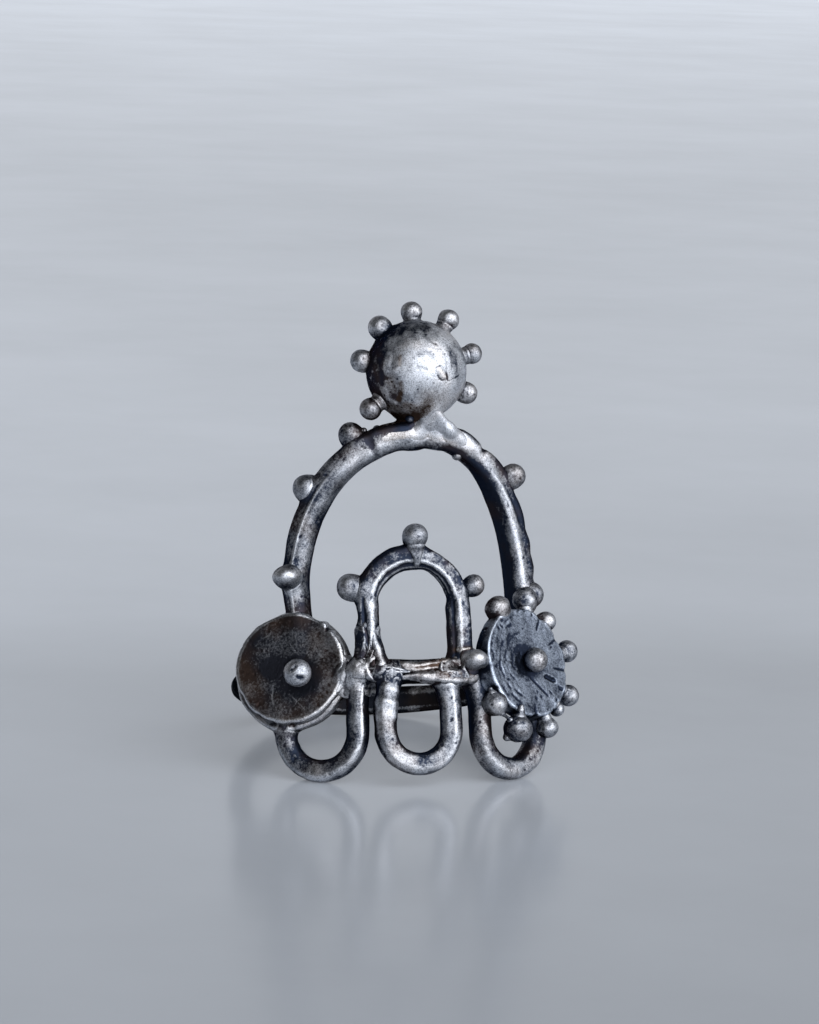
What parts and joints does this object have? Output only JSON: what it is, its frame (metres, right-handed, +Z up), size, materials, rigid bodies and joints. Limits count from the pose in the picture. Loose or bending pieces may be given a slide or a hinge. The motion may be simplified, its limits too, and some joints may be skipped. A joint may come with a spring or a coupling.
{
  "type": "finger ring",
  "caption": "Oxidised silver finger ring with an open crown: a large arch over a small one, hanging loops, side discs and a grain-edged ball, on a slim round band.",
  "frame": {"origin": "on the ground under the middle of the ring's outline, as the ring lies on its side by itself on its hanging loops and the back of the band", "axes": "+Z up, +X to the right of somebody who looks at the crown's front, and the front faces -Y; the finger's axis leans back by 19 degrees from +Z towards +Y"},
  "size_m": [0.0218, 0.0213, 0.0289],
  "materials": {
    "silver": "blackened silver, satin and pitted, bright on the worn high spots"
  },
  "bodies": {
    "root": {"ring": "silver"}
  },
  "joints": []
}
